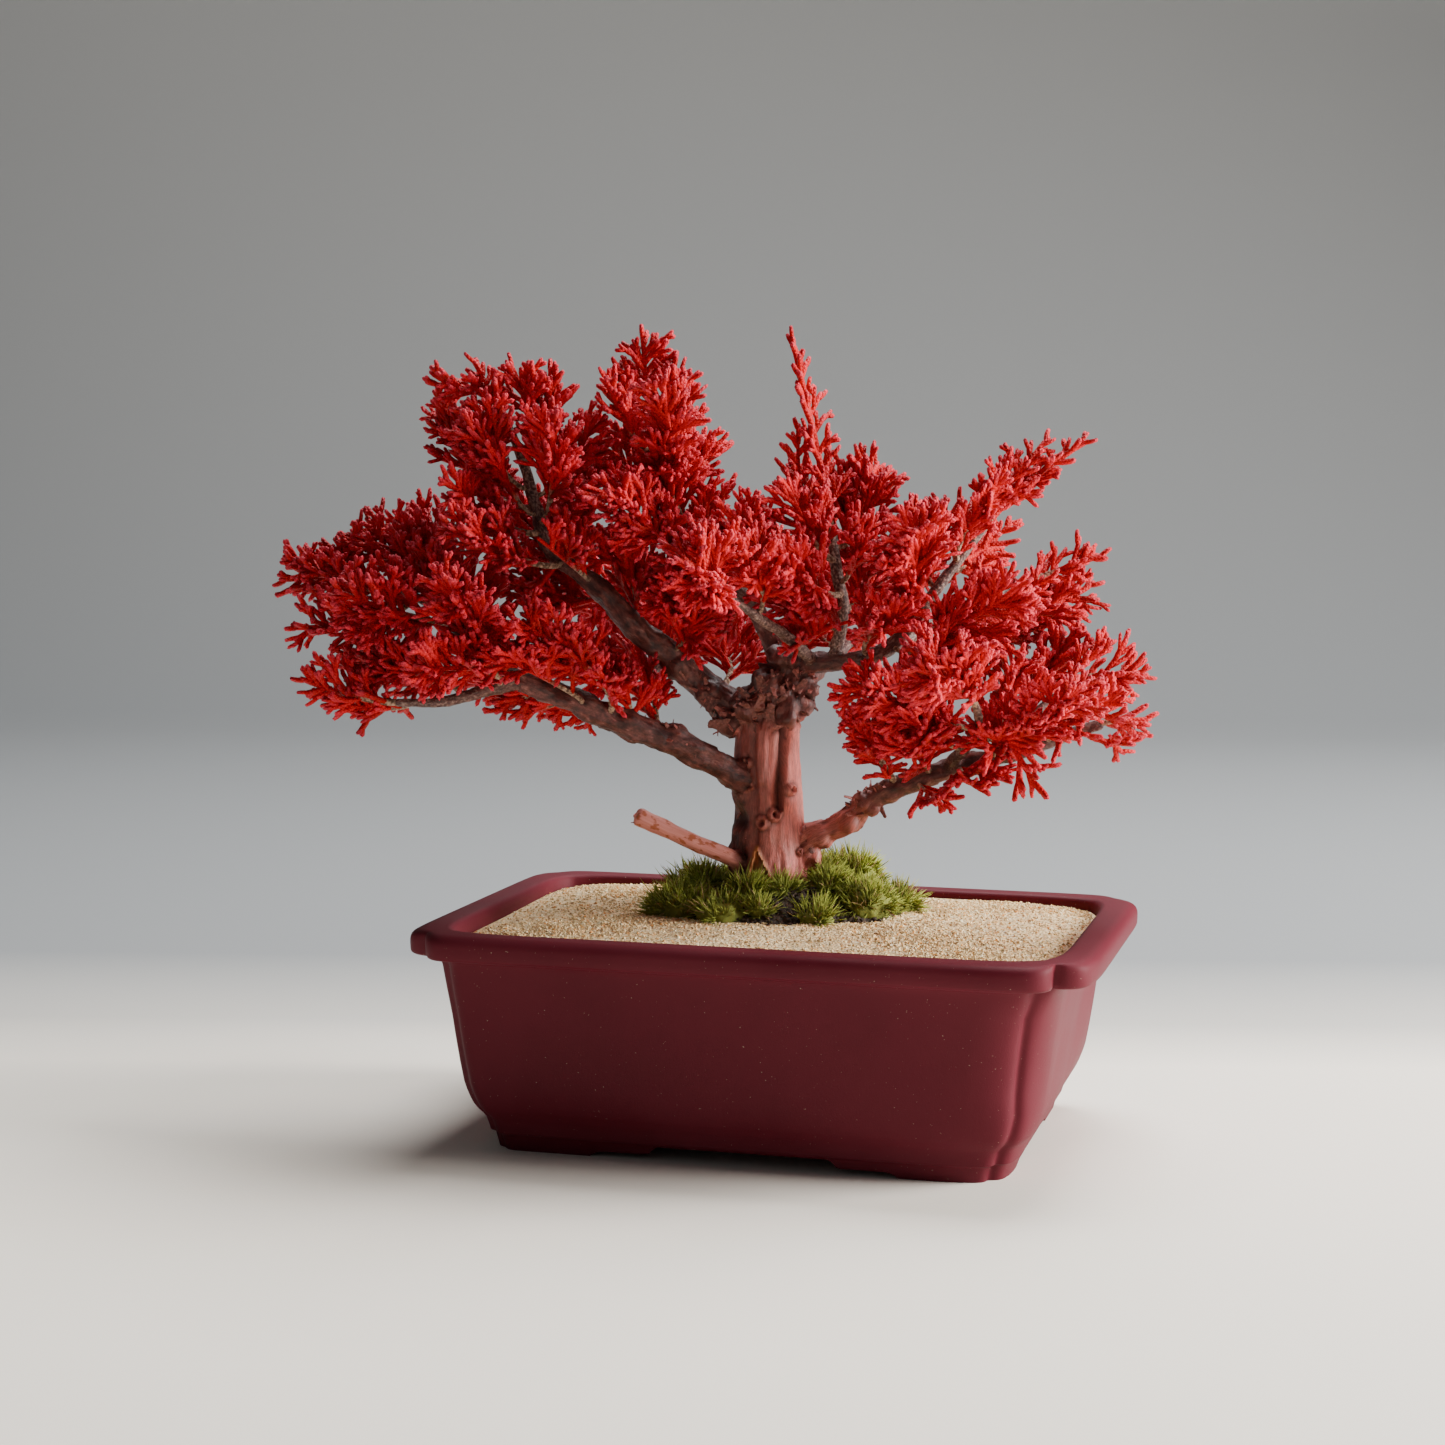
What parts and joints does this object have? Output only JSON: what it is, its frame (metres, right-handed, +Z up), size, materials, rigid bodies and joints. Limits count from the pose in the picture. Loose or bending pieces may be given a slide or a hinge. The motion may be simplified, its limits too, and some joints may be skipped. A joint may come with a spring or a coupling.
{
  "type": "juniper bonsai",
  "caption": "Small shimpaku juniper bonsai with red scale-leaf foliage, a stout trunk and spreading limbs, in an oblong notched-corner pot dressed with moss and sand.",
  "frame": {"origin": "below the middle of the whole object's outline, on the surface that the pot's feet stand on", "axes": "+X along the pot's long side, towards the viewer's right; -Y out of the pot's front; +Z up"},
  "size_m": [0.2686, 0.1638, 0.2454],
  "materials": {
    "pot": "matte burgundy plastic, slightly satin on its edges",
    "soil": "dark crumbly potting soil",
    "sand": "coarse pale tan sand",
    "moss": "tufted green moss",
    "wood": "reddish brown bark that peels in strips",
    "foliage": "waxy red scale leaves with paler tips"
  },
  "bodies": {
    "root": {"pot": "pot", "soil": "soil", "sand": "sand", "moss": "moss", "wood": "wood", "spray_01": "foliage", "spray_02": "foliage", "spray_03": "foliage", "spray_04": "foliage", "spray_05": "foliage", "spray_06": "foliage", "spray_07": "foliage", "spray_08": "foliage", "spray_09": "foliage", "spray_10": "foliage", "spray_11": "foliage", "spray_12": "foliage", "spray_13": "foliage", "spray_14": "foliage", "spray_15": "foliage", "spray_16": "foliage", "spray_17": "foliage", "spray_18": "foliage", "spray_19": "foliage", "spray_20": "foliage", "spray_21": "foliage", "spray_22": "foliage", "spray_23": "foliage", "spray_24": "foliage", "spray_25": "foliage", "spray_26": "foliage", "spray_27": "foliage", "spray_28": "foliage", "spray_29": "foliage", "spray_30": "foliage", "spray_31": "foliage", "spray_32": "foliage", "spray_33": "foliage", "spray_34": "foliage", "spray_35": "foliage", "spray_36": "foliage", "spray_37": "foliage", "spray_38": "foliage", "spray_39": "foliage", "spray_40": "foliage", "spray_41": "foliage", "spray_42": "foliage", "spray_43": "foliage", "spray_44": "foliage", "spray_45": "foliage", "spray_46": "foliage", "spray_47": "foliage", "spray_48": "foliage", "spray_49": "foliage", "spray_50": "foliage", "spray_51": "foliage", "spray_52": "foliage", "spray_53": "foliage", "spray_54": "foliage", "spray_55": "foliage"}
  },
  "joints": []
}
